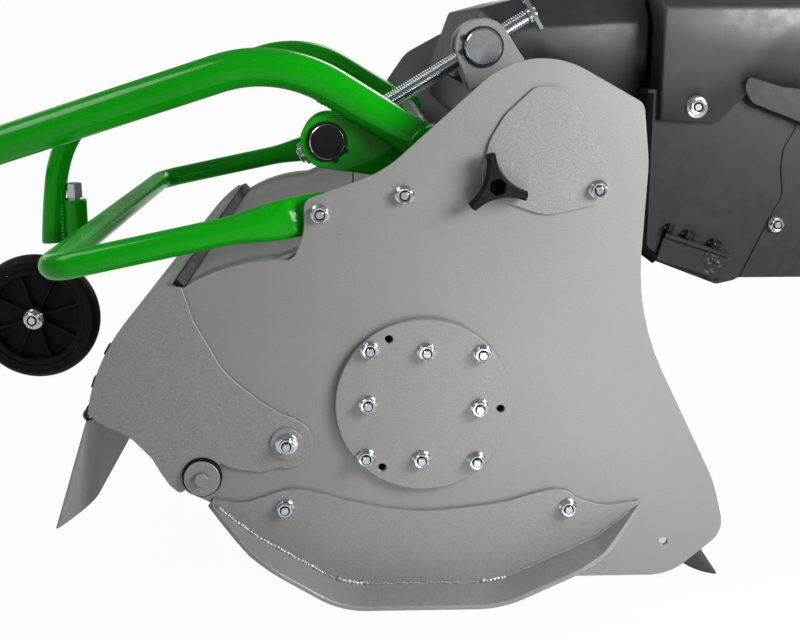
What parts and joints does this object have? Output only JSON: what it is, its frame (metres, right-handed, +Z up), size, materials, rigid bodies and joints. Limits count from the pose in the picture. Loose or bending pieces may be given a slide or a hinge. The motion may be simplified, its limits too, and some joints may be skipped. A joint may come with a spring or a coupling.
{
  "type": "hammer knife mower",
  "caption": "Hammer knife mower head with lifting front hood, swinging hammers, belt drive, skids and a a castor frame set by a screw.",
  "frame": {"origin": "centre of the bounding box on the ground plane, under the machine", "axes": "+Z up, -X towards the castor and the lifting hood, +X towards the drive coupling, -Y the side with the access cover and the star knob"},
  "size_m": [1.1118, 0.9426, 0.63],
  "materials": {
    "plate_grey": "silver grey powder coat, slightly rough",
    "zinc": "zinc plated steel",
    "green": "gloss green paint on tube",
    "black_plastic": "textured black plastic",
    "black_steel": "satin black paint",
    "rubber": "black rubber",
    "forged": "forged and machined steel"
  },
  "bodies": {
    "deck": {"side_plate_near": "plate_grey", "side_plate_far": "plate_grey", "bearing_flange_near": "plate_grey", "bearing_flange_far": "plate_grey", "skid_near": "plate_grey", "skid_far": "plate_grey", "main_hood": "plate_grey", "rear_wall": "plate_grey", "tie_bar": "plate_grey", "deck_beam": "plate_grey", "screw_bracket": "plate_grey", "belt_case": "plate_grey", "bearing_near": "zinc", "bearing_far": "zinc", "pivot_shaft": "zinc", "guard_bar": "green", "drive_housing": "black_plastic", "rear_cover": "black_plastic", "chassis_near": "black_steel", "chassis_far": "black_steel", "chassis_front_plate": "black_steel", "coupling_flange": "black_steel", "side_guard": "black_steel", "stop_buffer_near": "rubber", "stop_buffer_far": "rubber", "drive_belt": "rubber", "gearbox": "forged"},
    "rotor": {"rotor": "forged", "rotor_pulley": "forged"},
    "cross_shaft": {"drive_shaft": "forged"},
    "input": {"input_shaft": "forged"},
    "arms": {"arm_frame": "green"},
    "lower_trunnion": {"lower_trunnion": "black_steel"},
    "upper_trunnion": {"upper_trunnion": "zinc"},
    "screw": {"height_screw": "zinc"},
    "crank": {"screw_crank": "zinc"},
    "castor": {"castor_fork": "zinc"},
    "wheel": {"wheel_rim": "black_plastic", "tyre": "rubber"},
    "hood": {"front_hood": "plate_grey", "hood_seal": "rubber"},
    "front_flap": {"front_flap": "plate_grey"},
    "rear_flap": {"rear_flap": "black_steel"},
    "cover": {"access_cover": "plate_grey"},
    "knob": {"star_knob": "black_plastic"},
    "hammer_01": {"hammer_01": "forged"},
    "hammer_02": {"hammer_02": "forged"},
    "hammer_03": {"hammer_03": "forged"},
    "hammer_04": {"hammer_04": "forged"},
    "hammer_05": {"hammer_05": "forged"},
    "hammer_06": {"hammer_06": "forged"},
    "hammer_07": {"hammer_07": "forged"},
    "hammer_08": {"hammer_08": "forged"},
    "hammer_09": {"hammer_09": "forged"},
    "hammer_10": {"hammer_10": "forged"},
    "hammer_11": {"hammer_11": "forged"},
    "hammer_12": {"hammer_12": "forged"}
  },
  "joints": [
    {"name": "rotor_spin", "type": "hinge", "parent": "deck", "child": "rotor", "pos_m": [0.10394, 0, 0.205], "axis": [0, 1, 0], "continuous": true},
    {"name": "cross_shaft_spin", "type": "hinge", "parent": "deck", "child": "cross_shaft", "pos_m": [0.23194, 0, 0.473], "axis": [0, 1, 0], "continuous": true},
    {"name": "input_spin", "type": "hinge", "parent": "deck", "child": "input", "pos_m": [0.40394, 0, 0.473], "axis": [1, 0, 0], "continuous": true},
    {"name": "hammer_01_swing", "type": "hinge", "parent": "rotor", "child": "hammer_01", "pos_m": [0.16899, -0.30575, 0.27005], "axis": [0, 1, 0], "range_deg": [-269, 0]},
    {"name": "hammer_02_swing", "type": "hinge", "parent": "rotor", "child": "hammer_02", "pos_m": [0.03889, -0.24525, 0.13995], "axis": [0, 1, 0], "range_deg": [-89, 179]},
    {"name": "hammer_03_swing", "type": "hinge", "parent": "rotor", "child": "hammer_03", "pos_m": [0.03889, -0.18475, 0.27005], "axis": [0, 1, 0], "range_deg": [0, 269]},
    {"name": "hammer_04_swing", "type": "hinge", "parent": "rotor", "child": "hammer_04", "pos_m": [0.16899, -0.12425, 0.13995], "axis": [0, 1, 0], "range_deg": [-179, 89]},
    {"name": "hammer_05_swing", "type": "hinge", "parent": "rotor", "child": "hammer_05", "pos_m": [0.16899, -0.06375, 0.27005], "axis": [0, 1, 0], "range_deg": [-269, 0]},
    {"name": "hammer_06_swing", "type": "hinge", "parent": "rotor", "child": "hammer_06", "pos_m": [0.03889, -0.00325, 0.13995], "axis": [0, 1, 0], "range_deg": [-89, 179]},
    {"name": "hammer_07_swing", "type": "hinge", "parent": "rotor", "child": "hammer_07", "pos_m": [0.03889, 0.05725, 0.27005], "axis": [0, 1, 0], "range_deg": [0, 269]},
    {"name": "hammer_08_swing", "type": "hinge", "parent": "rotor", "child": "hammer_08", "pos_m": [0.16899, 0.11775, 0.13995], "axis": [0, 1, 0], "range_deg": [-179, 89]},
    {"name": "hammer_09_swing", "type": "hinge", "parent": "rotor", "child": "hammer_09", "pos_m": [0.16899, 0.17825, 0.27005], "axis": [0, 1, 0], "range_deg": [-269, 0]},
    {"name": "hammer_10_swing", "type": "hinge", "parent": "rotor", "child": "hammer_10", "pos_m": [0.03889, 0.23875, 0.13995], "axis": [0, 1, 0], "range_deg": [-89, 179]},
    {"name": "hammer_11_swing", "type": "hinge", "parent": "rotor", "child": "hammer_11", "pos_m": [0.03889, 0.29925, 0.27005], "axis": [0, 1, 0], "range_deg": [0, 269]},
    {"name": "hammer_12_swing", "type": "hinge", "parent": "rotor", "child": "hammer_12", "pos_m": [0.16899, 0.35975, 0.13995], "axis": [0, 1, 0], "range_deg": [-179, 89]},
    {"name": "arm_lift", "type": "hinge", "parent": "deck", "child": "arms", "pos_m": [0.11394, 0, 0.465], "axis": [0, 1, 0], "range_deg": [-5, 8]},
    {"name": "upper_trunnion_turn", "type": "hinge", "parent": "deck", "child": "upper_trunnion", "pos_m": [0.16794, -0.307, 0.568], "axis": [0, 1, 0], "range_deg": [-2.6, 4]},
    {"name": "lower_trunnion_turn", "type": "hinge", "parent": "arms", "child": "lower_trunnion", "pos_m": [0.00544, -0.307, 0.471], "axis": [0, 1, 0], "range_deg": [-4.5, 3]},
    {"name": "screw_travel", "type": "slide", "parent": "upper_trunnion", "child": "screw", "axis": [0.8587, 0, 0.5126], "range_m": [-0.0058, 0.0092]},
    {"name": "crank_turn", "type": "hinge", "parent": "screw", "child": "crank", "pos_m": [0.21774, -0.307, 0.59773], "axis": [0.8587, 0, 0.5126], "range_deg": [-480, 770]},
    {"name": "castor_swivel", "type": "hinge", "parent": "arms", "child": "castor", "pos_m": [-0.33656, 0, 0.366], "axis": [0, 0, 1], "range_deg": [-90, 90]},
    {"name": "wheel_spin", "type": "hinge", "parent": "castor", "child": "wheel", "pos_m": [-0.38556, -0.04, 0.2177], "axis": [0, 1, 0], "continuous": true},
    {"name": "hood_lift", "type": "hinge", "parent": "deck", "child": "hood", "pos_m": [-0.03906, 0, 0.164], "axis": [0, 1, 0], "range_deg": [0, 20]},
    {"name": "front_flap_swing", "type": "hinge", "parent": "hood", "child": "front_flap", "pos_m": [-0.24306, 0, 0.196], "axis": [0, 1, 0], "range_deg": [-30, 20]},
    {"name": "rear_flap_swing", "type": "hinge", "parent": "deck", "child": "rear_flap", "pos_m": [0.36394, 0, 0.047], "axis": [0, 1, 0], "range_deg": [-60, 0]},
    {"name": "cover_swing", "type": "hinge", "parent": "deck", "child": "cover", "pos_m": [0.27894, -0.41, 0.429], "axis": [0, 1, 0], "range_deg": [0, 100]},
    {"name": "knob_turn", "type": "hinge", "parent": "deck", "child": "knob", "pos_m": [0.17494, -0.41, 0.434], "axis": [0, 1, 0], "range_deg": [0, 720]}
  ],
  "couplings": [
    {"joint": "cross_shaft_spin", "follows": "rotor_spin", "ratio": 1.1},
    {"joint": "input_spin", "follows": "rotor_spin", "ratio": -1.1},
    {"joint": "upper_trunnion_turn", "follows": "arm_lift", "ratio": 0.476},
    {"joint": "lower_trunnion_turn", "follows": "arm_lift", "ratio": -0.524},
    {"joint": "screw_travel", "follows": "arm_lift", "m_per_rad": 0.0607},
    {"joint": "crank_turn", "follows": "arm_lift", "ratio": 95.35}
  ]
}
